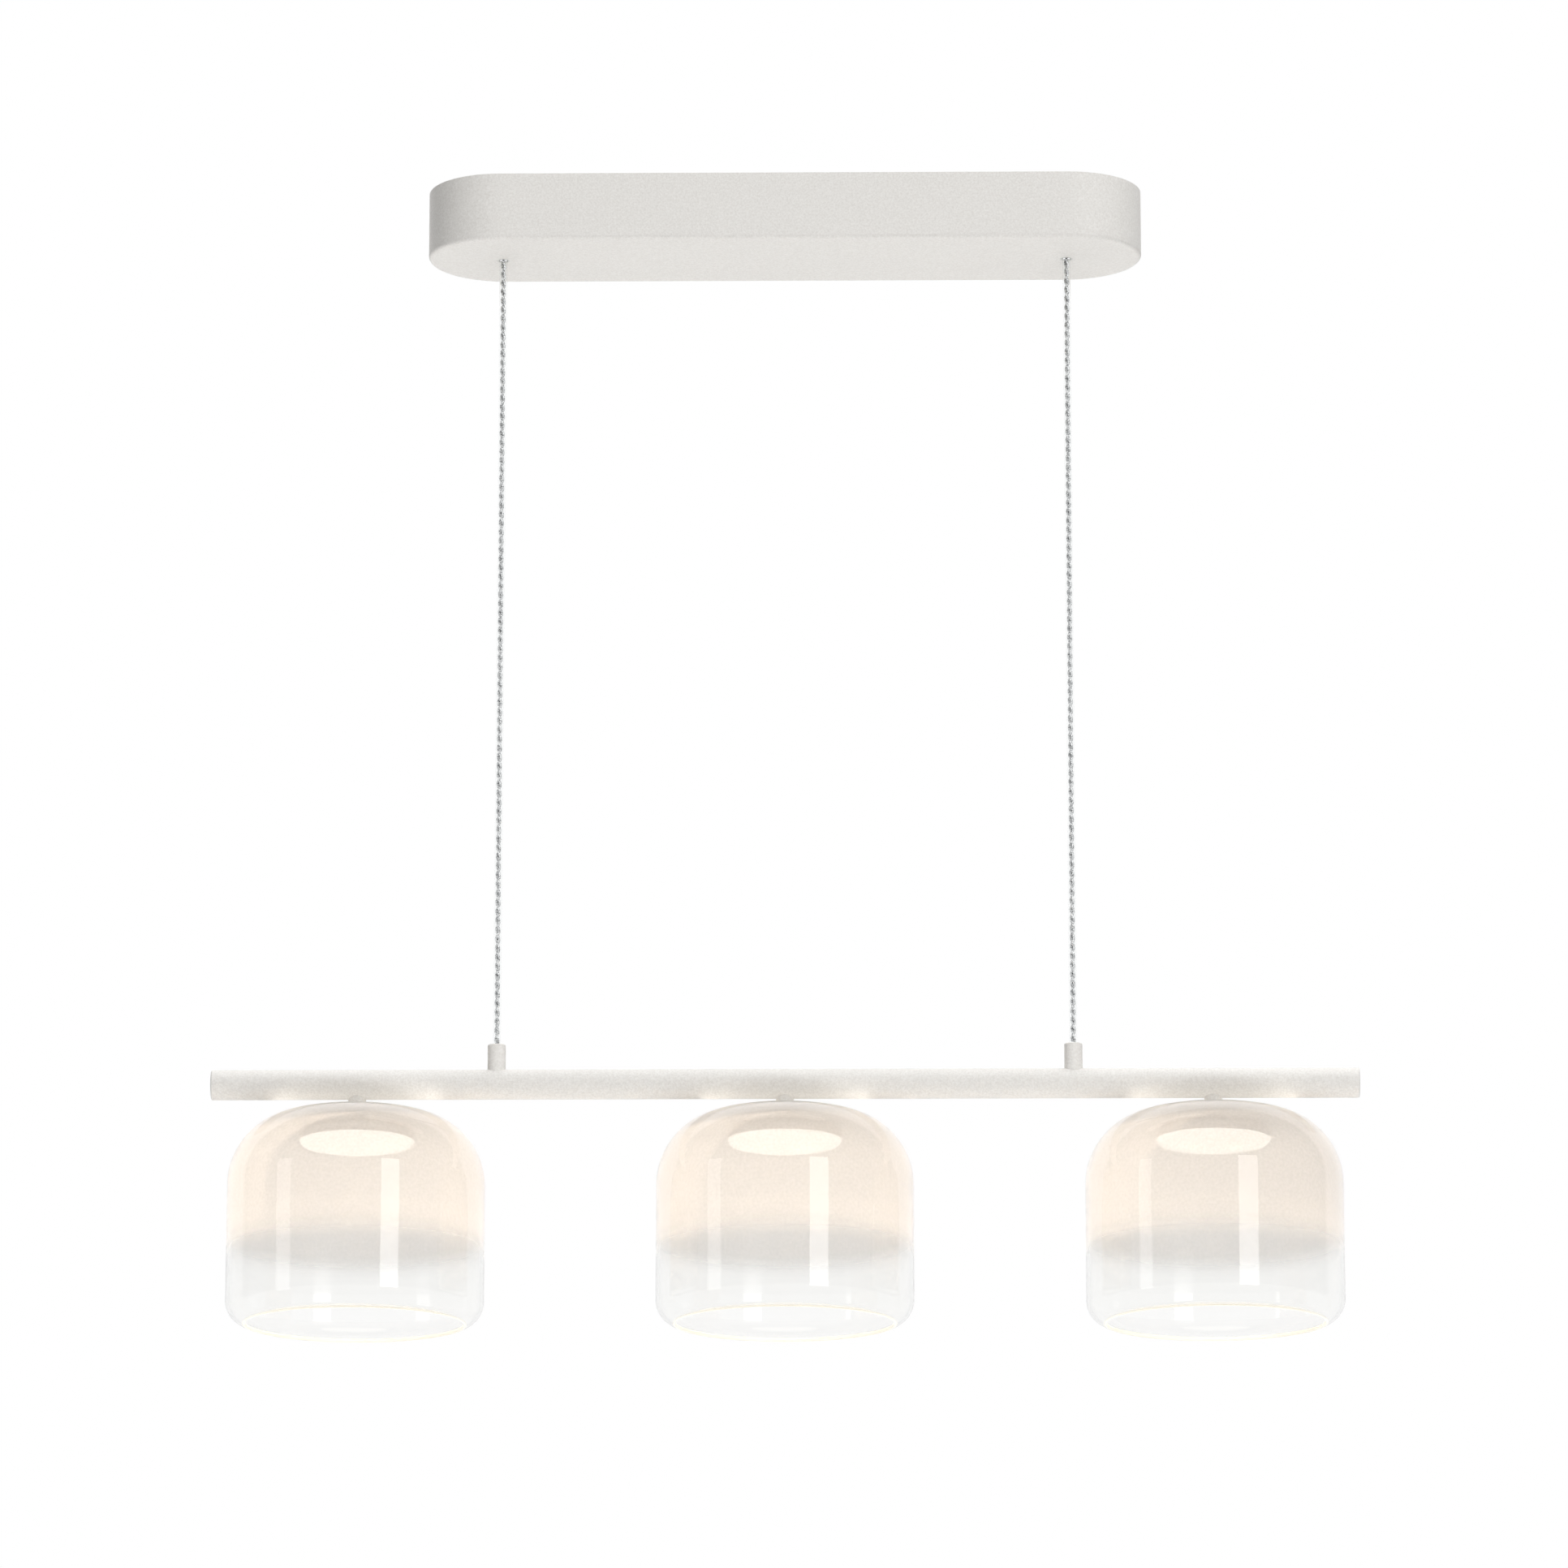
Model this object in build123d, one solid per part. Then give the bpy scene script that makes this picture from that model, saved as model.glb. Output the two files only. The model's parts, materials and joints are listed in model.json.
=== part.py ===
# Linear island pendant: a long ceiling canopy, two straight cords and a round bar that carries three
# bell-shaped glass shades, each with a shallow round LED lamp inside its crown.
# Millimetres, +Z up. The origin is on the ceiling, in the middle of the mounting plate. +X runs along
# the bar and -Y faces the room.
import os
from math import atan2, cos, radians, sin

from build123d import *

# ---- Driving dimensions ------------------------------------------------------------------------

# Ceiling canopy: a drawn steel cover with half-round ends, open towards the ceiling.
canopy_length = 582.0
canopy_width = 122.0
canopy_height = 55.4
canopy_wall = 1.2
canopy_edge_radius = 3.2

# Socket grub screws in the canopy's two ends. Their dog points sit in the plate's tabs.
cover_screw_level = -20.0
cover_screw_radius = 2.0
cover_screw_length = 9.4
cover_screw_recess = 0.4
cover_screw_socket = 2.0  # across flats, and as deep
dog_point_radius = 1.4
dog_point_length = 2.8
cover_nut_flats = 7.0
cover_nut_thickness = 4.0

# Mounting plate behind the canopy.
plate_thickness = 1.6
plate_length = 536.0
plate_width = 70.0
plate_corner_radius = 22.0
box_screw_spacing = 88.9
box_slot_length = 14.0
box_slot_width = 4.4
anchor_spacing_x = 380.0
anchor_spacing_y = 48.0
anchor_hole_radius = 2.6
cable_entry_radius = 11.0
tab_reach = 281.0  # outer face of each folded end tab
tab_width = 24.0
tab_drop = 28.0
tab_root = 20.0  # how far the tab's strip runs in from the plate's end
fold_radius = 2.4  # middle of the sheet, in every fold

# Stirrups that hang each cord from the plate.
stirrup_width = 24.0
stirrup_half_gap = 16.0
stirrup_foot = 12.0
shelf_level = -38.0
rivet_radius = 1.6
rivet_head_radius = 3.0
rivet_head_height = 1.2
rivet_head_edge = 0.8

# Cord glands in the stirrups and bushes in the canopy's cord holes.
gland_thread_radius = 6.0
gland_thread_length = 9.0
gland_flats = 16.0
gland_nut_flats = 17.0
gland_nut_thickness = 4.0
gland_hexagon_height = 5.0
gland_nose_height = 5.0
gland_nose_radius = 7.0
gland_tip_radius = 4.8
bush_radius = 5.2
bush_flange_radius = 7.0
bush_flange = 1.5

# LED driver: a sealed box with a stepped lid and a lug at each end.
driver_length = 104.0
driver_width = 42.0
driver_height = 24.0
driver_x = -115.0
driver_corner_radius = 3.0
driver_lid_height = 3.0
driver_lid_inset = 2.0
driver_lid_edge = 1.0
driver_lug_length = 8.0
driver_lug_thickness = 3.0
driver_screw_y = 7.0

# Terminal block, earth terminal and the wires between them.
terminal_length = 28.0
terminal_width = 30.0
terminal_height = 14.0
terminal_corner_radius = 2.0
terminal_x = 80.0
pole_pitch = 10.0
pole_way_radius = 1.8
pole_well_radius = 2.2
pole_well_depth = 5.0
earth_x = 160.0
earth_block = 10.0
earth_height = 12.0
earth_corner_radius = 1.0
earth_screw_radius = 3.0
earth_screw_height = 2.5
earth_slot_width = 0.8
wire_radius = 1.2
lead_straight = 16.0
lead_lean = 28.0
lead_bow = 7.0
lead_bend = 20.0

# Small screws: pan heads, and the socket grub screws in the grips.
screw_radius = 1.5
pan_head_radius = 2.8
pan_head_height = 2.0
pan_head_edge = 0.9
grub_socket = 1.5  # across flats, and as deep
grub_recess = 0.3

# Cords: both hang straight, and the bar's weight is on them.
cord_radius = 3.1
cord_spacing = 460.0
canopy_to_bar_axis = 685.4
cord_hole_radius = 3.8
bend_zone = 2.0  # the short stretch of cord that bends where it leaves the canopy
bend_gap = 0.3
cone_height = 0.9
cone_tip_radius = 0.8
inner_cord_level = -8.4
inner_cord_bend = 20.0

# Bar. Levels with "above" or "below" in their notes are measured from its axis.
bar_length = 915.0
bar_radius = 12.0
bar_wall = 1.5
end_cap_flange = 2.0
end_cap_edge = 1.4
end_cap_spigot = 8.0
saddle_length = 16.0
saddle_width = 20.0
saddle_flat = 4.5  # flat top of the nut in the bar, below
trunk_y = -4.5
trunk_level = 2.0  # above
lamp_lead_level = 1.0  # above
lamp_lead_reach = 30.0
lamp_lead_bend = 9.0

# Cord grips that stand on the bar.
grip_radius = 7.25
grip_height = 32.2  # above
grip_edge_radius = 1.0
grip_mouth_depth = 6.0
grip_spigot_radius = 4.0
grip_spigot_level = 8.5  # lower end of the spigot, above
grip_screw_height = 19.0  # above
cord_tail_level = 5.5  # cut end of the cord, above

# Glass shades.
shade_pitch = 341.0
shade_drop = 17.6  # top of the glass, below the bar's axis
shade_radius = 102.5
shade_height = 176.0
crown_height = 64.1  # top of the glass down to the straight wall
shoulder_radius = 58.8
rim_curl_radius = 19.5
rim_curl_angle = 75.0
glass_thickness = 3.0
shade_hole_radius = 5.4

# Threaded stem through the top of each shade, and what is stacked on it.
stem_radius = 5.0
stem_bore_radius = 3.2
stem_into_bar = 3.0  # top of the stem, below the bar's axis
stem_into_lamp = 5.0
neck_radius = 7.1
gasket_thickness = 1.0
gasket_sink = 0.5  # how far a gasket moulds itself to the domed glass
lower_gasket_radius = 9.0
lower_gasket_gap = 0.2
lock_nut_flats = 15.0
lock_nut_thickness = 4.0

# LED lamp in each shade, in distances below the top of the glass.
lamp_radius = 45.3
lamp_top = 9.0
lamp_plate_top = 19.0
lamp_plate_thickness = 2.5
lamp_rim_bottom = 27.0
lamp_rim_wall = 2.5
lamp_bevel = 2.0
boss_radius = 9.0
boss_ledge = 14.0
lead_hole_radius = 1.8
fin_count = 18
fin_thickness = 1.2
fin_top = 10.5
fin_bend_radius = 14.0  # where the fins begin to slope down
fin_outer_radius = 42.0
fin_outer_top = 15.5
fin_root = 1.0  # how far each fin runs into the boss and the plate
board_radius = 41.0
board_thickness = 1.6
board_hole_radius = 4.0
board_screw_circle = 32.0
board_screw_angles = (10, 130, 250)
board_screw_bite = 0.5  # metal left over the screws' blind ends
led_count = 14
led_circle = 22.0
led_width = 3.2
led_height = 0.8
lens_lip = 1.2
lens_land = 0.6  # flat ring between the lip's edge and the bulge
lens_bulge = 8.6
lens_corner = 3.6
lens_inner_corner = 2.4
lens_wall = 2.0
lens_spigot = 2.5

# Working allowances.
fit_clearance = 0.2
over = 1.0  # how far a cutting form runs past the face that it opens

# ---- Levels and places worked out from them ----------------------------------------------------

underside = -canopy_height
cover_floor = underside + canopy_wall
bar_axis = underside - canopy_to_bar_axis
shade_top = bar_axis - shade_drop
grip_top = bar_axis + grip_height
grip_screw_level = bar_axis + grip_screw_height
cord_x = cord_spacing / 2
swing_level = underside + 0.5  # the fore-and-aft hinge, just inside the canopy's hole
sway_level = swing_level - bend_zone  # the sideways hinge, just under the canopy
grip_hinge_level = grip_top - 1.0  # where each cord bends in the mouth of its grip
rivet_y = stirrup_half_gap + plate_thickness + stirrup_foot / 2
driver_screw_x = (driver_length + driver_lug_length) / 2
under_glass = shade_top - glass_thickness - gasket_thickness - lower_gasket_gap

sides = {"left": -1, "right": 1}
lamps = {"left": -shade_pitch, "centre": 0.0, "right": shade_pitch}

base = (Align.CENTER, Align.CENTER, Align.MIN)
hung = (Align.CENTER, Align.CENTER, Align.MAX)


# ---- Small building blocks ---------------------------------------------------------------------


def rod(radius, low, high, x=0.0, y=0.0):
    """Upright round bar between two levels."""
    return Pos(x, y, low) * Cylinder(radius, high - low, align=base)


def rod_x(radius, start, end, y=0.0, z=0.0):
    """Round bar along X between two places."""
    return Pos(min(start, end), y, z) * Rot(0, 90, 0) * Cylinder(radius, abs(end - start), align=base)


def rod_y(radius, start, end, x=0.0, z=0.0):
    """Round bar along Y between two places."""
    return Pos(x, min(start, end), z) * Rot(-90, 0, 0) * Cylinder(radius, abs(end - start), align=base)


def hexagon(across_flats):
    return RegularPolygon(across_flats / 2, 6, major_radius=False)


def hex_bar(across_flats, low, high):
    """Upright hexagonal bar between two levels."""
    return Pos(0, 0, low) * extrude(hexagon(across_flats), amount=high - low)


def rounded_block(length, width, corner_radius, low, high):
    """Block with rounded upright edges between two levels."""
    return Pos(0, 0, low) * extrude(RectangleRounded(length, width, corner_radius), amount=high - low)


def round_lowest(solid, radius):
    return fillet(solid.edges().group_by(Axis.Z)[0], radius)


def folded_strip(points, width):
    """Sheet strip folded along (across, height) points, its width along X."""
    face = trace(FilletPolyline(*points, radius=fold_radius), plate_thickness)
    return extrude(Plane.YZ * face, amount=width / 2, both=True)


def round_run(points, bend_radius, radius):
    """Round wire or cord along straight runs joined by arcs."""
    path = FilletPolyline(*points, radius=bend_radius)
    return sweep(Plane(origin=path @ 0, z_dir=path % 0) * Circle(radius), path)


def group(pieces):
    """Equal loose pieces as one part of separate solids."""
    return Compound(children=list(pieces))


def at_each_cord(piece):
    return group(Pos(side * cord_x, 0, 0) * piece for side in sides.values())


def at_each_lamp(piece):
    return group(Pos(x, 0, 0) * piece for x in lamps.values())


def pan_screw(length, x, y, seat):
    """Pan-head screw driven upwards, its head under the seat level."""
    head = round_lowest(rod(pan_head_radius, seat - pan_head_height, seat), pan_head_edge)
    return Pos(x, y, 0) * (head + rod(screw_radius, seat, seat + length))


# ---- Ceiling hardware --------------------------------------------------------------------------


def canopy_body(inset, low, edge_radius):
    """The canopy's outline drawn in by inset, from low up to the ceiling, its lower edge rounded."""
    outline = SlotOverall(canopy_length - 2 * inset, canopy_width - 2 * inset)
    return round_lowest(Pos(0, 0, low) * extrude(outline, amount=-low), edge_radius)


def canopy_inside():
    return canopy_body(canopy_wall, cover_floor, canopy_edge_radius - canopy_wall)


def make_canopy_cover():
    """Drawn cover: an even wall, two holes for the cords' bushes and two for the grub screws."""
    cover = canopy_body(0, underside, canopy_edge_radius) - canopy_inside()
    for side in sides.values():
        end = side * canopy_length / 2
        cover -= rod(bush_radius, underside - over, cover_floor + over, side * cord_x)
        cover -= rod_x(cover_screw_radius, end - side * cover_screw_length, end, z=cover_screw_level)
    return cover


def make_cover_nuts():
    """Weld nuts on the inside of the canopy's two ends, shaped to the curved wall."""
    nuts = []
    inside = canopy_inside()
    for side in sides.values():
        wall = side * (canopy_length / 2 - canopy_wall)
        start = Plane(origin=(wall + side * over, 0, cover_screw_level), z_dir=(-side, 0, 0))
        bore = rod_x(cover_screw_radius, wall - side * cover_screw_length, wall, z=cover_screw_level)
        nut = extrude(start * hexagon(cover_nut_flats), amount=cover_nut_thickness + over) & inside
        nuts.append(nut - bore)
    return group(nuts)


def make_cover_screws():
    """Socket grub screws, flush with the canopy's ends, whose points sit in the plate's tabs."""
    screws = []
    for side in sides.values():
        head = side * (canopy_length / 2 - cover_screw_recess)
        shoulder = head - side * cover_screw_length
        screw = rod_x(cover_screw_radius, head, shoulder, z=cover_screw_level)
        screw += rod_x(dog_point_radius, shoulder, shoulder - side * dog_point_length, z=cover_screw_level)
        socket = Plane(origin=(head, 0, cover_screw_level), z_dir=(-side, 0, 0)) * hexagon(cover_screw_socket)
        screws.append(screw - extrude(socket, amount=cover_screw_socket))
    return group(screws)


def make_mounting_plate():
    """Flat steel strip on the ceiling, with slots, holes and a tab folded down at each end."""
    face = RectangleRounded(plate_length, plate_width, plate_corner_radius)
    face -= Circle(cable_entry_radius)
    for side in sides.values():
        face -= Pos(side * box_screw_spacing / 2, 0) * SlotOverall(box_slot_length, box_slot_width)
        face -= Pos(driver_x + side * driver_screw_x, side * driver_screw_y) * Circle(screw_radius)
        for edge in sides.values():
            face -= Pos(side * anchor_spacing_x / 2, edge * anchor_spacing_y / 2) * Circle(anchor_hole_radius)
            face -= Pos(side * cord_x, edge * rivet_y) * Circle(rivet_radius)
    plate = extrude(face, amount=-plate_thickness)

    middle = plate_thickness / 2
    corner = (tab_reach - middle, -middle)
    tab_points = [(plate_length / 2 - tab_root, -middle), corner, (tab_reach - middle, -tab_drop)]
    tab_face = trace(FilletPolyline(*tab_points, radius=fold_radius), plate_thickness)
    tab = extrude(Plane.XZ * tab_face, amount=tab_width / 2, both=True)
    tab -= rod_x(screw_radius, tab_reach - plate_thickness - over, tab_reach + over, z=cover_screw_level)
    return plate + tab + mirror(tab, Plane.YZ)


def make_cord_stirrup(side):
    """Folded strap under the plate: two feet, two legs and the shelf that the cord's gland sits in."""
    foot_level = -1.5 * plate_thickness
    shelf = shelf_level + plate_thickness / 2
    leg = stirrup_half_gap + plate_thickness / 2
    half = [(leg + stirrup_foot, foot_level), (leg, foot_level), (leg, shelf)]
    points = half + [(-across, height) for across, height in reversed(half)]
    stirrup = folded_strip(points, stirrup_width)
    stirrup -= rod(gland_thread_radius, shelf_level - over, shelf_level + plate_thickness + over)
    for edge in sides.values():
        stirrup -= rod(rivet_radius, -2 * plate_thickness - over, 0, 0, edge * rivet_y)
    return Pos(side * cord_x, 0, 0) * stirrup


def make_stirrup_rivets():
    """Rivets through the plate and the stirrups' feet, flush on the ceiling side."""
    head_level = -2 * plate_thickness
    head = round_lowest(rod(rivet_head_radius, head_level - rivet_head_height, head_level), rivet_head_edge)
    rivet = head + rod(rivet_radius, head_level, 0)
    places = [(side * cord_x, edge * rivet_y, 0) for side in sides.values() for edge in sides.values()]
    return group(Pos(*place) * rivet for place in places)


def make_cord_gland(side):
    """Nylon gland: hexagon under the shelf, tapered nose below it and thread above it."""
    nose_top = shelf_level - gland_hexagon_height
    gland = hex_bar(gland_flats, nose_top, shelf_level)
    gland += rod(gland_thread_radius, shelf_level, shelf_level + gland_thread_length)
    gland += Pos(0, 0, nose_top - gland_nose_height) * Cone(
        gland_tip_radius, gland_nose_radius, gland_nose_height, align=base
    )
    gland -= rod(cord_radius, nose_top - gland_nose_height - over, 0)
    return Pos(side * cord_x, 0, 0) * gland


def make_gland_nuts():
    low = shelf_level + plate_thickness
    high = low + gland_nut_thickness
    nut = hex_bar(gland_nut_flats, low, high) - rod(gland_thread_radius, low - over, high + over)
    return at_each_cord(nut)


def make_cord_bush(side):
    """Flanged bush that lines the canopy's hole, flush underneath."""
    flange_top = cover_floor + bush_flange
    bush = rod(bush_radius, underside, cover_floor) + rod(bush_flange_radius, cover_floor, flange_top)
    bush -= rod(cord_hole_radius, underside - over, flange_top + over)
    return Pos(side * cord_x, 0, 0) * bush


def make_led_driver():
    """Sealed driver box with a stepped lid and a lug at each end."""
    top = -plate_thickness
    bottom = top - driver_height
    lid_top = bottom + driver_lid_height
    lug_bottom = top - driver_lug_thickness
    lid_length = driver_length - 2 * driver_lid_inset
    lid_width = driver_width - 2 * driver_lid_inset
    driver = rounded_block(driver_length, driver_width, driver_corner_radius, lid_top, top)
    lid = rounded_block(lid_length, lid_width, driver_corner_radius, bottom, lid_top)
    driver += round_lowest(lid, driver_lid_edge)
    lug_span = driver_length + 2 * driver_lug_length
    driver += rounded_block(lug_span, driver_width / 2, driver_corner_radius, lug_bottom, top)
    for side in sides.values():
        hole_x, hole_y = side * driver_screw_x, side * driver_screw_y
        driver -= rod(screw_radius, lug_bottom - over, top + over, hole_x, hole_y)
    return Pos(driver_x, 0, 0) * driver


def make_driver_screws():
    seat = -plate_thickness - driver_lug_thickness
    places = [(driver_x + side * driver_screw_x, side * driver_screw_y) for side in sides.values()]
    return group(pan_screw(-seat, x, y, seat) for x, y in places)


def make_terminal_block():
    """Three-pole terminal block with a screw well and a wire way for each pole."""
    bottom = -plate_thickness - terminal_height
    middle = bottom + terminal_height / 2
    well_top = bottom + pole_well_depth
    block = rounded_block(terminal_length, terminal_width, terminal_corner_radius, bottom, -plate_thickness)
    for pole in (-1, 0, 1):
        y = pole * pole_pitch
        block -= rod_x(pole_way_radius, -terminal_length, terminal_length, y=y, z=middle)
        for end in sides.values():
            block -= rod(pole_well_radius, bottom - over, well_top, end * terminal_length / 4, y)
    return Pos(terminal_x, 0, 0) * block


def make_earth_terminal():
    """Brass pillar with a slotted clamping screw, riveted under the plate."""
    bottom = -plate_thickness - earth_height
    head = bottom - earth_screw_height
    slot = Pos(0, 0, head) * Box(3 * earth_screw_radius, earth_slot_width, earth_screw_height)
    terminal = rounded_block(earth_block, earth_block, earth_corner_radius, bottom, -plate_thickness)
    return Pos(earth_x, 0, 0) * (terminal + rod(earth_screw_radius, head, bottom) - slot)


def make_driver_leads():
    """Two insulated wires from the terminal block to the driver, dressed round the cable entry."""
    level = -plate_thickness - terminal_height / 2
    start = terminal_x - terminal_length / 2
    end = driver_x + driver_length / 2
    leads = []
    for edge in sides.values():
        y = edge * pole_pitch
        bow = y + edge * lead_bow
        reach = lead_straight + lead_lean
        leaving = [(start, y), (start - lead_straight, y), (start - reach, bow)]
        arriving = [(end + reach, bow), (end + lead_straight, y), (end, y)]
        leads.append(round_run([(*place, level) for place in leaving + arriving], lead_bend, wire_radius))
    return group(leads)


# ---- Cords -------------------------------------------------------------------------------------


def coned(low, high, cone_below):
    """Round cord between two levels with a shallow cone on its top, and below too if asked."""
    tip = Cone(cord_radius, cone_tip_radius, cone_height, align=base)
    bottom = low + cone_height if cone_below else low
    piece = rod(cord_radius, bottom, high - cone_height) + Pos(0, 0, high - cone_height) * tip
    if cone_below:
        piece += Pos(0, 0, bottom) * Rot(180, 0, 0) * tip
    return piece


def make_inner_cord(side):
    """The cord inside the canopy: up through its gland, then along to the driver or the earth."""
    ends = {-1: driver_x - driver_length / 2, 1: earth_x + earth_block / 2}
    points = [
        (side * cord_x, 0, swing_level + bend_gap),
        (side * cord_x, 0, inner_cord_level),
        (ends[side], 0, inner_cord_level),
    ]
    return round_run(points, inner_cord_bend, cord_radius)


def make_cord_bend(side):
    """The short stretch that bends fore and aft in the canopy's hole."""
    return Pos(side * cord_x, 0, 0) * coned(sway_level + bend_gap, swing_level, False)


def make_cord(side):
    """The straight hanging cord, coned at both ends so that it can tilt."""
    return Pos(side * cord_x, 0, 0) * coned(grip_hinge_level, sway_level, True)


def make_cord_tail(side):
    """The cord's end, clamped in its grip and open into the bar."""
    return rod(cord_radius, bar_axis + cord_tail_level, grip_hinge_level - bend_gap, side * cord_x)


# ---- Bar ---------------------------------------------------------------------------------------


def make_bar_tube():
    """Round tube, drilled on top for the grips' spigots and underneath for the stems."""
    end = bar_length / 2 - end_cap_flange
    tube = rod_x(bar_radius, -end, end, z=bar_axis) - rod_x(bar_radius - bar_wall, -end, end, z=bar_axis)
    for side in sides.values():
        tube -= rod(grip_spigot_radius + fit_clearance, bar_axis, bar_axis + 2 * bar_radius, side * cord_x)
    for x in lamps.values():
        tube -= rod(stem_radius + fit_clearance, bar_axis - 2 * bar_radius, bar_axis, x)
    return tube


def make_end_cap(side):
    """Pressed-in cap whose flange is as wide as the tube."""
    end = side * bar_length / 2
    shoulder = end - side * end_cap_flange
    inner = shoulder - side * end_cap_spigot
    flange = rod_x(bar_radius, shoulder, end, z=bar_axis)
    flange = fillet(flange.edges().sort_by(Axis.X)[-1 if side > 0 else 0], end_cap_edge)
    spigot = rod_x(bar_radius - bar_wall, shoulder, inner, z=bar_axis)
    spigot -= rod_x(bar_radius - 2 * bar_wall, shoulder, inner - side * over, z=bar_axis)
    return flange + spigot


def make_cord_grip(side):
    """Turned sleeve saddled on the bar, with a spigot into it and a mouth that lets the cord tilt."""
    sleeve = rod(grip_radius, bar_axis, grip_top)
    grip = fillet(sleeve.edges().group_by(Axis.Z)[-1], grip_edge_radius)
    grip -= rod_x(bar_radius, -2 * grip_radius, 2 * grip_radius, z=bar_axis)
    grip += rod(grip_spigot_radius, bar_axis + grip_spigot_level, grip_top - grip_mouth_depth)
    grip -= rod(cord_hole_radius, grip_top - grip_mouth_depth, grip_top + over)
    grip -= rod(cord_radius, bar_axis, grip_top)
    grip -= rod_y(screw_radius, 0, grip_radius + over, z=grip_screw_level)
    return Pos(side * cord_x, 0, 0) * grip


def make_grip_screws():
    """Grub screws in the backs of the grips, which clamp the cords."""
    face = grip_radius - grub_recess
    socket = Plane(origin=(0, face, grip_screw_level), z_dir=(0, -1, 0)) * hexagon(grub_socket)
    screw = rod_y(screw_radius, cord_radius, face, z=grip_screw_level)
    return at_each_cord(screw - extrude(socket, amount=grub_socket))


def make_bar_wires():
    """The trunk wire along the bar and the lead that drops through each stem to its lamp."""
    trunk_end = shade_pitch + lamp_lead_reach
    wires = [rod_x(wire_radius, -trunk_end, trunk_end, y=trunk_y, z=bar_axis + trunk_level)]
    level = bar_axis + lamp_lead_level
    drop = shade_top - lamp_plate_top - lamp_plate_thickness
    for x in lamps.values():
        points = [(x - lamp_lead_reach, 0, level), (x, 0, level), (x, 0, drop)]
        wires.append(round_run(points, lamp_lead_bend, wire_radius))
    return group(wires)


def make_saddle_nuts():
    """Nuts inside the bar, shaped to its round wall, that the stems screw into."""
    nut = rod_x(bar_radius - bar_wall, -saddle_length / 2, saddle_length / 2, z=bar_axis)
    nut &= Pos(0, 0, bar_axis - saddle_flat) * Box(saddle_length, saddle_width, bar_radius, align=hung)
    return at_each_lamp(nut - rod(stem_radius, bar_axis - 2 * bar_radius, bar_axis))


# ---- Shades and lamps --------------------------------------------------------------------------


def bell_line(depth):
    """Line of the bell at a depth inside its outer face: crown arc, shoulder arc, wall and rim curl.
    The crown's radius makes it meet the shoulder without a corner."""
    rise = crown_height - shoulder_radius
    reach = shade_radius - shoulder_radius
    crown_radius = (reach**2 + crown_height**2 - shoulder_radius**2) / (2 * rise)
    lean = atan2(reach, crown_radius - crown_height)
    curl_level = -shade_height + rim_depth()
    curl_centre = shade_radius - rim_curl_radius
    curl_end = radians(-rim_curl_angle)

    def crown(angle):
        radius = crown_radius - depth
        return (radius * sin(angle), -crown_radius + radius * cos(angle))

    def shoulder(angle):
        radius = shoulder_radius - depth
        return (reach + radius * sin(angle), -crown_height + radius * cos(angle))

    def curl(angle):
        radius = rim_curl_radius - depth
        return (curl_centre + radius * cos(angle), curl_level + radius * sin(angle))

    start = shade_hole_radius / crown_radius
    half_turn = radians(90)
    return [
        ThreePointArc(crown(start), crown((start + lean) / 2), crown(lean)),
        ThreePointArc(crown(lean), shoulder((lean + half_turn) / 2), shoulder(half_turn)),
        Line(shoulder(half_turn), curl(0)),
        ThreePointArc(curl(0), curl(curl_end / 2), curl(curl_end)),
    ]


def rim_depth():
    """Centre of the rim curl above the lowest point of the glass."""
    half = glass_thickness / 2
    return (rim_curl_radius - half) * sin(radians(rim_curl_angle)) + half


def make_shade(x):
    """Blown bell: even wall, a hole at the top and a fire-polished, curled-in rim."""
    outer, inner = bell_line(0), bell_line(glass_thickness)
    outer_end, inner_end = outer[-1] @ 1, inner[-1] @ 1
    tangent = outer[-1] % 1
    lip_tip = (outer_end + inner_end) / 2 + tangent * (glass_thickness / 2)
    lip = ThreePointArc(outer_end, lip_tip, inner_end)
    hole = Line(outer[0] @ 0, inner[0] @ 0)
    face = make_face(outer + inner + [lip, hole])
    return Pos(x, 0, shade_top) * revolve(Plane.XZ * face, Axis.Z)


def make_neck(x):
    """Collar between the bar and the shade, hollowed on top to sit on the round bar."""
    neck = rod(neck_radius, shade_top + gasket_thickness, bar_axis)
    neck -= rod_x(bar_radius, -2 * neck_radius, 2 * neck_radius, z=bar_axis)
    return Pos(x, 0, 0) * (neck - rod(stem_radius, shade_top, bar_axis))


def make_stem(x):
    """Hollow threaded stem that everything at the shade is stacked on."""
    bottom = shade_top - lamp_top - stem_into_lamp
    top = bar_axis - stem_into_bar
    return rod(stem_radius, bottom, top, x) - rod(stem_bore_radius, bottom, top, x)


def make_upper_gasket(x, shade):
    """Gasket under the neck, its lower face moulded to the domed glass."""
    high = shade_top + gasket_thickness
    gasket = rod(neck_radius, shade_top - glass_thickness / 2, high, x)
    gasket -= rod(stem_radius, under_glass, high, x)
    return gasket.cut(shade).solids().sort_by(Axis.Z)[-1]


def make_lower_gasket(x, shade):
    """Gasket over the lock nut, its upper face moulded to the domed glass."""
    high = shade_top - glass_thickness + gasket_sink
    gasket = rod(lower_gasket_radius, under_glass, high, x)
    gasket -= rod(stem_radius, under_glass, high, x)
    return gasket.cut(shade).solids().sort_by(Axis.Z)[0]


def make_lock_nuts():
    low = under_glass - lock_nut_thickness
    nut = hex_bar(lock_nut_flats, low, under_glass) - rod(stem_radius, low - over, under_glass + over)
    return at_each_lamp(nut)


def board_screw_places():
    turns = [radians(angle) for angle in board_screw_angles]
    return [(board_screw_circle * cos(turn), board_screw_circle * sin(turn)) for turn in turns]


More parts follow.
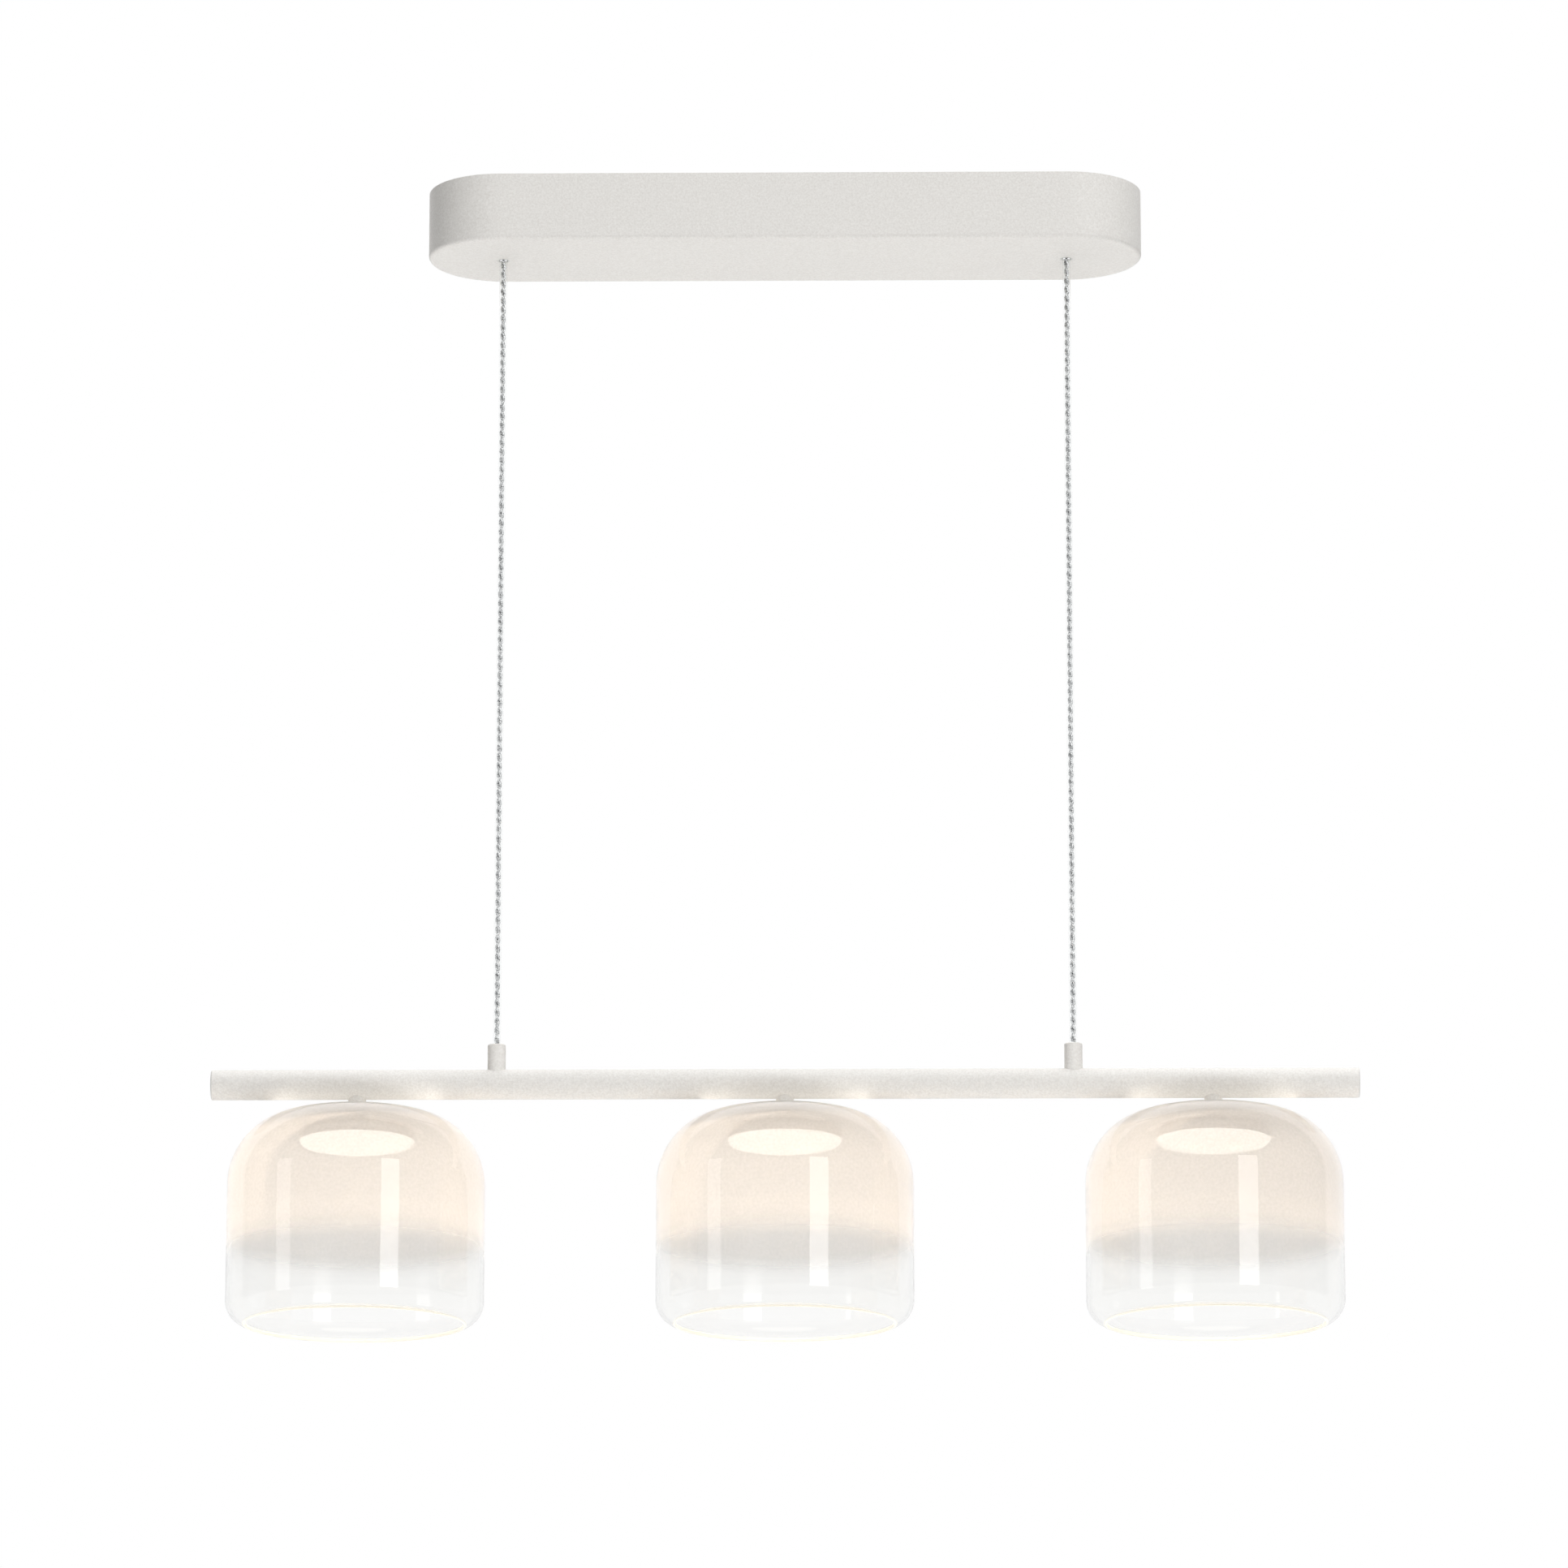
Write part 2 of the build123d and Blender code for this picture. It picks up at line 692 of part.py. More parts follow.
def make_lamp_housing(x):
    """Cast lamp body: threaded boss, finned back plate and the rim that holds the lens."""
    plate_bottom = -lamp_plate_top - lamp_plate_thickness
    rim_inner = lamp_radius - lamp_rim_wall
    profile = Polyline(
        (stem_radius, -lamp_top),
        (boss_radius, -lamp_top),
        (boss_radius, -lamp_plate_top),
        (lamp_radius - lamp_bevel, -lamp_plate_top),
        (lamp_radius, -lamp_plate_top - lamp_bevel),
        (lamp_radius, -lamp_rim_bottom),
        (rim_inner, -lamp_rim_bottom),
        (rim_inner, plate_bottom),
        (lead_hole_radius, plate_bottom),
        (lead_hole_radius, -boss_ledge),
        (stem_radius, -boss_ledge),
        close=True,
    )
    housing = revolve(Plane.XZ * make_face(profile), Axis.Z)
    root_radius = boss_radius - fin_root
    root_level = -lamp_plate_top - fin_root
    fin_line = Polyline(
        (root_radius, root_level),
        (root_radius, -fin_top),
        (fin_bend_radius, -fin_top),
        (fin_outer_radius, -fin_outer_top),
        (fin_outer_radius, root_level),
        close=True,
    )
    fin = extrude(Plane.XZ * make_face(fin_line), amount=fin_thickness / 2, both=True)
    housing += [Rot(0, 0, index * 360 / fin_count) * fin for index in range(fin_count)]
    for hole_x, hole_y in board_screw_places():
        hole_top = -lamp_plate_top - board_screw_bite
        housing -= rod(screw_radius, plate_bottom - over, hole_top, hole_x, hole_y)
    return Pos(x, 0, shade_top) * housing


def make_led_board(x):
    """Aluminium circuit disc with a ring of LED packages."""
    top = -lamp_plate_top - lamp_plate_thickness
    bottom = top - board_thickness
    board = rod(board_radius, bottom, top) - rod(board_hole_radius, bottom - over, top + over)
    for hole_x, hole_y in board_screw_places():
        board -= rod(screw_radius, bottom - over, top + over, hole_x, hole_y)
    package = Pos(led_circle, 0, bottom) * Box(led_width, led_width, led_height, align=hung)
    board += [Rot(0, 0, index * 360 / led_count) * package for index in range(led_count)]
    return Pos(x, 0, shade_top) * board


def make_board_screws():
    seat = shade_top - lamp_plate_top - lamp_plate_thickness - board_thickness
    length = board_thickness + lamp_plate_thickness - board_screw_bite
    places = [(x + hole_x, hole_y) for x in lamps.values() for hole_x, hole_y in board_screw_places()]
    return group(pan_screw(length, screw_x, screw_y, seat) for screw_x, screw_y in places)


def dish_arcs(radius, depth, corner, level):
    """Shallow dish, from its middle to an upright edge at a level: a wide arc and a tangent corner arc.

    The arcs touch inside, so their centres lie dish_radius - corner apart, which gives dish_radius.
    """
    reach = radius - corner
    dish_radius = (reach**2 + depth**2 - corner**2) / (2 * (depth - corner))
    dish_centre = level - depth + dish_radius
    lean = atan2(reach, dish_radius - depth)
    turn = (lean + radians(90)) / 2

    def on_dish(angle):
        return (dish_radius * sin(angle), dish_centre - dish_radius * cos(angle))

    on_corner = (reach + corner * sin(turn), level - corner * cos(turn))
    return [
        ThreePointArc(on_dish(0), on_dish(lean / 2), on_dish(lean)),
        ThreePointArc(on_dish(lean), on_corner, (radius, level)),
    ]


def make_lens(x):
    """Opal lens: a lip under the housing's rim, a spigot inside it and a round-edged bulge below."""
    lip_top = -lamp_rim_bottom
    lip_bottom = lip_top - lens_lip
    spigot_top = lip_top + lens_spigot
    spigot_outer = lamp_radius - lamp_rim_wall
    spigot_inner = spigot_outer - lens_wall
    bulge_radius = lamp_radius - lens_land
    bulge_bottom = lip_bottom - lens_bulge
    lines = [
        Line((0, bulge_bottom + lens_wall), (0, bulge_bottom)),
        *dish_arcs(bulge_radius, lens_bulge, lens_corner, lip_bottom),
        Polyline(
            (bulge_radius, lip_bottom),
            (lamp_radius, lip_bottom),
            (lamp_radius, lip_top),
            (spigot_outer, lip_top),
            (spigot_outer, spigot_top),
            (spigot_inner, spigot_top),
            (spigot_inner, lip_bottom),
        ),
        *dish_arcs(spigot_inner, lens_bulge - lens_wall, lens_inner_corner, lip_bottom),
    ]
    return Pos(x, 0, shade_top) * revolve(Plane.XZ * make_face(lines), Axis.Z)


# ---- Every part under its own name -------------------------------------------------------------


def make_parts():
    parts = {
        "mounting_plate": make_mounting_plate(),
        "canopy_cover": make_canopy_cover(),
        "cover_nuts": make_cover_nuts(),
        "cover_screws": make_cover_screws(),
        "stirrup_rivets": make_stirrup_rivets(),
        "gland_nuts": make_gland_nuts(),
        "led_driver": make_led_driver(),
        "driver_screws": make_driver_screws(),
        "terminal_block": make_terminal_block(),
        "earth_terminal": make_earth_terminal(),
        "driver_leads": make_driver_leads(),
        "bar_tube": make_bar_tube(),
        "grip_screws": make_grip_screws(),
        "bar_wires": make_bar_wires(),
        "saddle_nuts": make_saddle_nuts(),
        "lock_nuts": make_lock_nuts(),
        "board_screws": make_board_screws(),
    }
    for name, side in sides.items():
        parts["cord_stirrup_" + name] = make_cord_stirrup(side)
        parts["cord_gland_" + name] = make_cord_gland(side)
        parts["cord_bush_" + name] = make_cord_bush(side)
        parts["inner_cord_" + name] = make_inner_cord(side)
        parts["cord_bend_" + name] = make_cord_bend(side)
        parts["cord_" + name] = make_cord(side)
        parts["cord_tail_" + name] = make_cord_tail(side)
        parts["cord_grip_" + name] = make_cord_grip(side)
        parts["end_cap_" + name] = make_end_cap(side)
    for name, x in lamps.items():
        shade = make_shade(x)
        parts["shade_" + name] = shade
        parts["neck_" + name] = make_neck(x)
        parts["stem_" + name] = make_stem(x)
        parts["upper_gasket_" + name] = make_upper_gasket(x, shade)
        parts["lower_gasket_" + name] = make_lower_gasket(x, shade)
        parts["lamp_housing_" + name] = make_lamp_housing(x)
        parts["led_board_" + name] = make_led_board(x)
        parts["lens_" + name] = make_lens(x)
    return parts


os.makedirs("parts", exist_ok=True)
for part_name, part in make_parts().items():
    export_step(part, f"parts/{part_name}.step")
print("inner cord bend radius", inner_cord_bend, "for a cord of diameter", 2 * cord_radius)
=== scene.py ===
import json
import math

import bpy
import mathutils
import numpy as np
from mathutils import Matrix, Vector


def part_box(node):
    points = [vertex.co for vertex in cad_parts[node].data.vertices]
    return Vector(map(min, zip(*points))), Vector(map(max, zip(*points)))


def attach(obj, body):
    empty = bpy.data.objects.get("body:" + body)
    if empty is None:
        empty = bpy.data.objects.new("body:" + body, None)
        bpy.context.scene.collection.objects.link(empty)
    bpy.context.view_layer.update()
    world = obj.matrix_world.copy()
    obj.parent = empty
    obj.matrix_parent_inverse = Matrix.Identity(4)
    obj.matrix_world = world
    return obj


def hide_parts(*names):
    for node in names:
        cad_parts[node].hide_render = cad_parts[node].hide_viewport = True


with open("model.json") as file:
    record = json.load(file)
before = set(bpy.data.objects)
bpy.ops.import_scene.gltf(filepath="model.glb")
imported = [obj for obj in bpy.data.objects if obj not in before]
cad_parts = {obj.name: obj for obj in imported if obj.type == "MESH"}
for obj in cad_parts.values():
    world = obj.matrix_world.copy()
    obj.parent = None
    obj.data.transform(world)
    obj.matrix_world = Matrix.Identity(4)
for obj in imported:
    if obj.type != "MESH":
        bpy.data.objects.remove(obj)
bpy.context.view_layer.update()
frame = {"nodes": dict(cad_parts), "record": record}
nodes = frame["nodes"]
print("frame loaded:", len(nodes), "nodes")


# small helpers

def srgb(code):  # "#rrggbb" to linear red, green, blue, alpha
    parts = [int(code[i:i + 2], 16) / 255 for i in (1, 3, 5)]
    return [p / 12.92 if p <= 0.04045 else ((p + 0.055) / 1.055) ** 2.4 for p in parts] + [1.0]


def addNode(tree, kind, settings=None, values=None, links=None):
    node = tree.nodes.new("ShaderNode" + kind)
    for name, value in (settings or {}).items():
        setattr(node, name, value)
    for name, value in (values or {}).items():
        node.inputs[name].default_value = value
    for name, socket in (links or {}).items():
        tree.links.new(socket, node.inputs[name])
    return node


def newMaterial(name):
    material = bpy.data.materials.new(name)
    material.use_nodes = True
    material.node_tree.nodes.clear()
    return material, material.node_tree


def showSurface(tree, socket):
    addNode(tree, "OutputMaterial", links={"Surface": socket})


def addRamp(tree, factor, stops):  # stops: (place, value or hex colour)
    ramp = addNode(tree, "ValToRGB", links={"Fac": factor})
    for i, (place, colour) in enumerate(stops):
        stop = ramp.color_ramp.elements[i] if i < 2 else ramp.color_ramp.elements.new(place)
        stop.position = place
        stop.color = srgb(colour) if isinstance(colour, str) else (colour, colour, colour, 1)
    return ramp.outputs["Color"]


def addNoise(tree, size, detail=2, roughness=0.5):  # size of one grain in metres, on Object coordinates
    place = addNode(tree, "TexCoord").outputs["Object"]
    return addNode(tree, "TexNoise", values={"Scale": 1 / size, "Detail": detail, "Roughness": roughness},
                   links={"Vector": place}).outputs["Fac"]


def addBump(tree, height, depth):  # depth in metres
    return addNode(tree, "Bump", values={"Distance": depth, "Strength": 1.0},
                   links={"Height": height}).outputs["Normal"]


def addProduct(tree, one, other):  # one times other
    return addNode(tree, "Math", {"operation": "MULTIPLY"}, links={0: one, 1: other}).outputs["Value"]


def addLarger(tree, one, other):  # the larger of the two
    return addNode(tree, "Math", {"operation": "MAXIMUM"}, links={0: one, 1: other}).outputs["Value"]


def addRange(tree, factor, ends, values, kind="LINEAR"):
    # the factor's stretch between two ends, laid on a stretch of values and held level past them
    return addNode(tree, "MapRange", {"interpolation_type": kind},
                   {"From Min": ends[0], "From Max": ends[1], "To Min": values[0], "To Max": values[1]},
                   {"Value": factor}).outputs["Result"]


def addMix(tree, factor, under, over):  # two shaders
    return addNode(tree, "MixShader", links={0: factor, 1: under, 2: over}).outputs["Shader"]


# camera, at the photograph's viewing angle

view = {"place": (0.0723, -6.0366, -1.909), "pitch": 13.18, "turn": 0.693, "lens": 177.0, "sensor": 36.0}


def makeCamera():
    data = bpy.data.cameras.new("camera")
    data.lens, data.sensor_width = view["lens"], view["sensor"]
    camera = bpy.data.objects.new("camera", data)
    camera.location = view["place"]
    camera.rotation_euler = (math.radians(90 + view["pitch"]), 0, math.radians(view["turn"]))
    bpy.context.scene.collection.objects.link(camera)
    bpy.context.scene.camera = camera


makeCamera()
print("camera placed")


# meshes from numpy grids

def meshPiece(name, points, faces, smooth=True):
    mesh = bpy.data.meshes.new(name)
    mesh.from_pydata(points.reshape(-1, 3).tolist(), [], faces.tolist())
    mesh.polygons.foreach_set("use_smooth", np.full(len(mesh.polygons), smooth))
    mesh.update()
    piece = bpy.data.objects.new(name, mesh)
    bpy.context.scene.collection.objects.link(piece)
    return piece


def gridFaces(rows, columns):  # quads of a grid whose columns close on themselves
    row, column = np.meshgrid(np.arange(rows - 1), np.arange(columns), indexing="ij")
    after = (column + 1) % columns
    start, below = row * columns, (row + 1) * columns
    return np.stack([start + column, start + after, below + after, below + column], axis=-1).reshape(-1, 4)


def tubeAlong(name, line, radius, sides):
    # rings of a circle carried along a line: centre + radius * (cos a * across + sin a * up)
    line = np.asarray(line, float)
    ahead = np.gradient(line, axis=0)
    ahead /= np.linalg.norm(ahead, axis=1)[:, None]
    across = np.cross(ahead, (0.0, 1.0, 0.0))
    across /= np.linalg.norm(across, axis=1)[:, None]
    up = np.cross(ahead, across)
    angle = np.linspace(0, 2 * math.pi, sides, endpoint=False)[None, :, None]
    rings = line[:, None] + radius * (np.cos(angle) * across[:, None] + np.sin(angle) * up[:, None])
    points = np.concatenate([rings.reshape(-1, 3), line[:1], line[-1:]])
    faces = gridFaces(len(line), sides).tolist()
    last = (len(line) - 1) * sides
    faces += [[(k + 1) % sides, k, len(points) - 2] for k in range(sides)]
    faces += [[last + k, last + (k + 1) % sides, len(points) - 1] for k in range(sides)]
    return meshPiece(name, points, np.array(faces, dtype=object))


# cords: a clear jacket round a twisted pair of silver conductors

cord = {"diameter": 0.0062, "spacing": 0.460, "top": -0.0552, "exit": -0.0554, "bottom": -0.7096,
        "strand": 0.00068, "lay": 0.0150, "inset": 0.0002,  # radius, a turn's length, and its ends' setback
        "stepsPerLay": 20, "sides": 10, "roundness": 8}


def cordRoute(x):  # the route's own points, as the part has them
    return [(x, 0, cord["top"]), (x, 0, -0.20), (x, 0, -0.38), (x, 0, -0.56), (x, 0, cord["bottom"])]


def routeCurve(name, route):
    data = bpy.data.curves.new(name, "CURVE")
    data.dimensions = "3D"
    spline = data.splines.new("NURBS")
    spline.points.add(len(route) - 1)
    for point, place in zip(spline.points, route):
        point.co = (*place, 1)
        point.radius = cord["diameter"] / 2  # the bevel's depth of 1 is scaled by it
    spline.order_u = 3
    spline.use_endpoint_u = True
    return bpy.data.objects.new(name, data)


def makeCord(side, sign):
    x = sign * cord["spacing"] / 2
    jacket = routeCurve("cord_jacket_" + side, cordRoute(x))
    jacket.data.bevel_depth = 1.0
    jacket.data.bevel_resolution = cord["roundness"]
    jacket.data.use_fill_caps = True
    bpy.context.scene.collection.objects.link(jacket)
    bare = routeCurve("bare_route", cordRoute(x))
    mesh = bpy.data.meshes.new_from_object(bare)
    line = np.array([v.co for v in mesh.vertices], float).reshape(-1, 3)
    bpy.data.meshes.remove(mesh)
    bpy.data.curves.remove(bare.data)
    # each conductor: centre line + strand radius * (cos t, sin t), with t turning once in a lay
    steps = int((line[0, 2] - line[-1, 2]) / cord["lay"] * cord["stepsPerLay"])
    level = np.linspace(line[0, 2] - cord["inset"], line[-1, 2] + cord["inset"], steps)
    centre = np.stack([np.interp(-level, -line[:, 2], line[:, k]) for k in range(3)], axis=1)
    strands = []
    for k in (0, 1):
        turn = -level / cord["lay"] * 2 * math.pi + k * math.pi
        route = centre + cord["strand"] * np.stack([np.cos(turn), np.sin(turn), 0 * turn], axis=1)
        strand = tubeAlong(f"conductor_{side}_{k + 1}", route, cord["strand"], cord["sides"])
        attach(strand, side + "_cord")
        strands.append(strand)
    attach(jacket, side + "_cord")
    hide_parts("cord_" + side, "cord_bend_" + side)
    return jacket, strands


cords = {side: makeCord(side, sign) for side, sign in (("left", -1), ("right", 1))}
print("cords made")


# glass shades: the bell's profile turned round its axis, outer and inner wall in one closed mesh

bell = {"radius": 0.1025, "height": 0.1760, "crown": 0.0641, "shoulder": 0.0588,
        "curl": 0.0195, "curlTurn": 75,  # the rim's radius, and its turn in degrees
        "glass": 0.0030, "hole": 0.0054, "segments": 160,
        "steps": {"crown": 18, "shoulder": 30, "wall": 22, "curl": 20, "lip": 11}}


def bellProfile(depth):
    # crown arc, shoulder arc, straight wall and rim curl, at a depth inside the outer face, as (radius, level);
    # the crown's radius is the one that meets the shoulder's arc on a common tangent
    rise, reach = bell["crown"] - bell["shoulder"], bell["radius"] - bell["shoulder"]
    crownRadius = (reach ** 2 + bell["crown"] ** 2 - bell["shoulder"] ** 2) / (2 * rise)
    lean = math.atan2(reach, crownRadius - bell["crown"])
    half = bell["glass"] / 2
    curlEnd = math.radians(bell["curlTurn"])
    curlLevel = -bell["height"] + (bell["curl"] - half) * math.sin(curlEnd) + half
    steps = bell["steps"]
    crown = np.linspace(bell["hole"] / crownRadius, lean, steps["crown"])
    shoulder = np.linspace(lean, math.pi / 2, steps["shoulder"])[1:]
    wall = np.linspace(-bell["crown"], curlLevel, steps["wall"])[1:-1]
    curl = np.linspace(0, curlEnd, steps["curl"])
    radius = np.concatenate([(crownRadius - depth) * np.sin(crown),
                             reach + (bell["shoulder"] - depth) * np.sin(shoulder),
                             np.full(len(wall), bell["radius"] - depth),
                             bell["radius"] - bell["curl"] + (bell["curl"] - depth) * np.cos(curl)])
    level = np.concatenate([-crownRadius + (crownRadius - depth) * np.cos(crown),
                            -bell["crown"] + (bell["shoulder"] - depth) * np.cos(shoulder), wall,
                            curlLevel - (bell["curl"] - depth) * np.sin(curl)])
    return np.stack([radius, level], axis=1)


def makeShade(name):
    low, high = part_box("shade_" + name)
    centre = np.array([(low.x + high.x) / 2, 0.0, high.z])
    outer, inner = bellProfile(0), bellProfile(bell["glass"])[::-1]
    middle, half = (outer[-1] + inner[0]) / 2, bell["glass"] / 2
    across = (outer[-1] - inner[0]) / (2 * half)
    ahead = np.array([across[1], -across[0]])
    lip = np.linspace(0, math.pi, bell["steps"]["lip"])[1:-1, None]  # the fire-polished lip is a half circle
    rim = middle + half * (np.cos(lip) * across + np.sin(lip) * ahead)
    profile = np.concatenate([outer, rim, inner, outer[:1]])
    angle = np.linspace(0, 2 * math.pi, bell["segments"], endpoint=False)
    points = np.stack([profile[:-1, :1] * np.cos(angle), -profile[:-1, :1] * np.sin(angle),
                       np.repeat(profile[:-1, 1:], len(angle), axis=1)], axis=-1) + centre
    rows, columns = points.shape[:2]
    faces = gridFaces(rows, columns)
    start, end = np.arange(columns), (rows - 1) * columns + np.arange(columns)
    closing = np.stack([end, np.roll(end, -1), np.roll(start, -1), start], axis=1)
    shade = meshPiece("glass_" + name, points, np.concatenate([faces, closing]))
    # the sprayed coat lies on the inner wall only
    inside = np.repeat(np.arange(rows) >= len(outer) + len(rim), columns).astype(np.float32)
    shade.data.attributes.new("inside", "FLOAT", "POINT").data.foreach_set("value", inside)
    # rows of the lip, which carry a painted warm glow
    lipRows = (np.arange(rows) >= len(outer) - 1) & (np.arange(rows) <= len(outer) + len(rim))
    lipped = np.repeat(lipRows, columns).astype(np.float32)
    shade.data.attributes.new("lip", "FLOAT", "POINT").data.foreach_set("value", lipped)
    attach(shade, "light_bar")
    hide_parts("shade_" + name)
    return shade


shades = {name: makeShade(name) for name in ("left", "centre", "right")}
print("shades made")


# finishes

def powderCoat():
    # polyester powder coat, satin: an off-white skin of fine soft grains that breaks up every highlight
    material, tree = newMaterial("powder_coat_white")
    grain = addNoise(tree, 0.0016, detail=3, roughness=0.6)
    colour = addRamp(tree, grain, [(0.30, "#eae7e2"), (0.70, "#fbf9f5")])
    relief = addBump(tree, addNoise(tree, 0.0011, detail=2), 0.00004)
    shader = addNode(tree, "BsdfPrincipled", values={"Roughness": 0.52, "IOR": 1.5},
                     links={"Base Color": colour, "Normal": relief})
    showSurface(tree, shader.outputs["BSDF"])
    return material


def zincPlate():
    # cold-rolled steel, bright zinc plated: bluish silver with faint spangle and drawn scratches
    material, tree = newMaterial("zinc_plated_steel")
    spangle = addNoise(tree, 0.006, detail=4)
    colour = addRamp(tree, spangle, [(0.3, "#b9bcc0"), (0.7, "#d3d5d6")])
    dull = addRamp(tree, addNoise(tree, 0.002, detail=3), [(0.3, 0.28), (0.7, 0.42)])
    shader = addNode(tree, "BsdfPrincipled", values={"Metallic": 1.0},
                     links={"Base Color": colour, "Roughness": dull,
                            "Normal": addBump(tree, addNoise(tree, 0.0007), 0.00001)})
    showSurface(tree, shader.outputs["BSDF"])
    return material


def castAluminium():
    # die-cast aluminium, white anodised: chalky with a faint metal sheen and a fine cast skin;
    # its grey is darker than the white finish, a painted shade that shows as the grey crown top through the glass
    material, tree = newMaterial("cast_aluminium_shade_grey")
    colour = addRamp(tree, addNoise(tree, 0.003, detail=4), [(0.3, "#b9bbbc"), (0.7, "#c9cacb")])
    shader = addNode(tree, "BsdfPrincipled", values={"Metallic": 0.25, "Roughness": 0.5},
                     links={"Base Color": colour, "Normal": addBump(tree, addNoise(tree, 0.0008), 0.00003)})
    showSurface(tree, shader.outputs["BSDF"])
    return material


def turnedBrass():
    # brass, turned and nickel-free: warm yellow with fine rings and slight tarnish
    material, tree = newMaterial("turned_brass")
    colour = addRamp(tree, addNoise(tree, 0.002, detail=4), [(0.3, "#a88a48"), (0.7, "#cdb06a")])
    shader = addNode(tree, "BsdfPrincipled", values={"Metallic": 1.0, "Roughness": 0.3},
                     links={"Base Color": colour, "Normal": addBump(tree, addNoise(tree, 0.0005), 0.00001)})
    showSurface(tree, shader.outputs["BSDF"])
    return material


def mouldedPlastic(name, dark, light, grain, roughness, ior):
    # injection-moulded plastic: even colour with a fine spark-eroded skin
    material, tree = newMaterial(name)
    colour = addRamp(tree, addNoise(tree, 0.004, detail=3), [(0.3, dark), (0.7, light)])
    shader = addNode(tree, "BsdfPrincipled", values={"Roughness": roughness, "IOR": ior},
                     links={"Base Color": colour, "Normal": addBump(tree, addNoise(tree, grain), 0.00003)})
    showSurface(tree, shader.outputs["BSDF"])
    return material


def litOpal():
    # opal polycarbonate lit from behind: an even warm white, bright enough to reach full white
    material, tree = newMaterial("opal_polycarbonate_lit")
    mottle = addNoise(tree, 0.012, detail=2)
    shine = addRamp(tree, mottle, [(0.3, "#fffaf0"), (0.7, "#fffcf6")])
    shader = addNode(tree, "BsdfPrincipled", values={"Roughness": 0.4, "Specular IOR Level": 0.0,
                                                     "Base Color": srgb("#0a0a09"), "Emission Strength": 1.25},
                     links={"Emission Color": shine})
    showSurface(tree, shader.outputs["BSDF"])
    material.cycles.emission_sampling = "NONE"  # the lamps in makeLights give its light
    return material


def clearJacket():
    # plasticised PVC, extruded clear: glassy, with faint draw lines along the cord
    material, tree = newMaterial("clear_pvc")
    haze = addRamp(tree, addNoise(tree, 0.004), [(0.3, 0.02), (0.7, 0.06)])
    shader = addNode(tree, "BsdfPrincipled",
                     values={"Transmission Weight": 1.0, "IOR": 1.53, "Base Color": srgb("#fcfdfd")},
                     links={"Roughness": haze})
    showSurface(tree, shader.outputs["BSDF"])
    return material


def tinnedCopper():
    # tinned copper, bunched fine wires: bright silver whose fine strands break the shine into dashes
    material, tree = newMaterial("tinned_copper")
    colour = addRamp(tree, addNoise(tree, 0.0009, detail=2), [(0.35, "#8f9092"), (0.6, "#e9eaea")])
    shader = addNode(tree, "BsdfPrincipled", values={"Metallic": 1.0, "Roughness": 0.22},
                     links={"Base Color": colour, "Normal": addBump(tree, addNoise(tree, 0.0004), 0.00002)})
    showSurface(tree, shader.outputs["BSDF"])
    return material


coat = {"full": 0.099, "gone": 0.128, "most": 0.61,  # drops below the top of the glass, and its density
        "apex": 0.006, "shoulder": 0.030, "crownShading": 1.4,  # it is denser on the crown: painted shade that greys the crown's top
        "through": 0.85, "lip": 0.8}  # the share of light the coat lets through, and the share of the painted glow on the lip


def gradedGlass():
    # blown soda-lime glass, sprayed inside with a thin white coat that fades downwards: the coat lets far
    # more light through than it throws back, so it glows warm round the lamp and looks grey from inside;
    # the coat is made denser on the crown, a painted shade that greys its top, and the fire-polished lip
    # has a painted warm glow that stands for the light running down in the wall
    material, tree = newMaterial("graded_glass")
    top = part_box("shade_centre")[1].z
    place = addNode(tree, "TexCoord").outputs["Object"]
    height = addNode(tree, "SeparateXYZ", links={"Vector": place}).outputs["Z"]
    fade = addRange(tree, height, (top - coat["gone"], top - coat["full"]), (0.0, coat["most"]), "SMOOTHERSTEP")
    # the denser coat on the crown is painted shade, greying the crown's top
    crown = addRange(tree, height, (top - coat["shoulder"], top - coat["apex"]), (1.0, coat["crownShading"]))
    inside = addNode(tree, "Attribute", {"attribute_name": "inside"}).outputs["Fac"]
    density = addProduct(tree, addProduct(tree, fade, crown), inside)
    ripple = addBump(tree, addNoise(tree, 0.03, detail=1), 0.00002)
    clear = addNode(tree, "BsdfPrincipled",
                    values={"Transmission Weight": 1.0, "IOR": 1.52, "Roughness": 0.0,
                            "Base Color": srgb("#fbfbfa")},
                    links={"Normal": ripple})
    speckle = addRamp(tree, addNoise(tree, 0.0022, detail=2), [(0.3, "#dadada"), (0.7, "#e4e4e4")])
    body = addNode(tree, "BsdfPrincipled", values={"Roughness": 0.6}, links={"Base Color": speckle})
    through = addNode(tree, "BsdfTranslucent", links={"Color": speckle})
    milk = addNode(tree, "MixShader", values={0: coat["through"]},
                   links={1: body.outputs["BSDF"], 2: through.outputs["BSDF"]})
    coated = addMix(tree, density, clear.outputs["BSDF"], milk.outputs["Shader"])
    # painted glow on the lip: emission standing for the lamp light carried down in the glass
    paintedLipGlow = addNode(tree, "BsdfPrincipled",
                       values={"Base Color": srgb("#f4f1e6"), "Roughness": 0.2, "IOR": 1.52,
                               "Emission Color": srgb("#fff6e0"), "Emission Strength": 0.35})
    onLip = addNode(tree, "Math", {"operation": "MULTIPLY"}, {1: coat["lip"]},
                    {0: addNode(tree, "Attribute", {"attribute_name": "lip"}).outputs["Fac"]})
    showSurface(tree, addMix(tree, onLip.outputs["Value"], coated, paintedLipGlow.outputs["BSDF"]))
    material.cycles.emission_sampling = "NONE"  # its painted lip glow is too faint to light anything
    return material


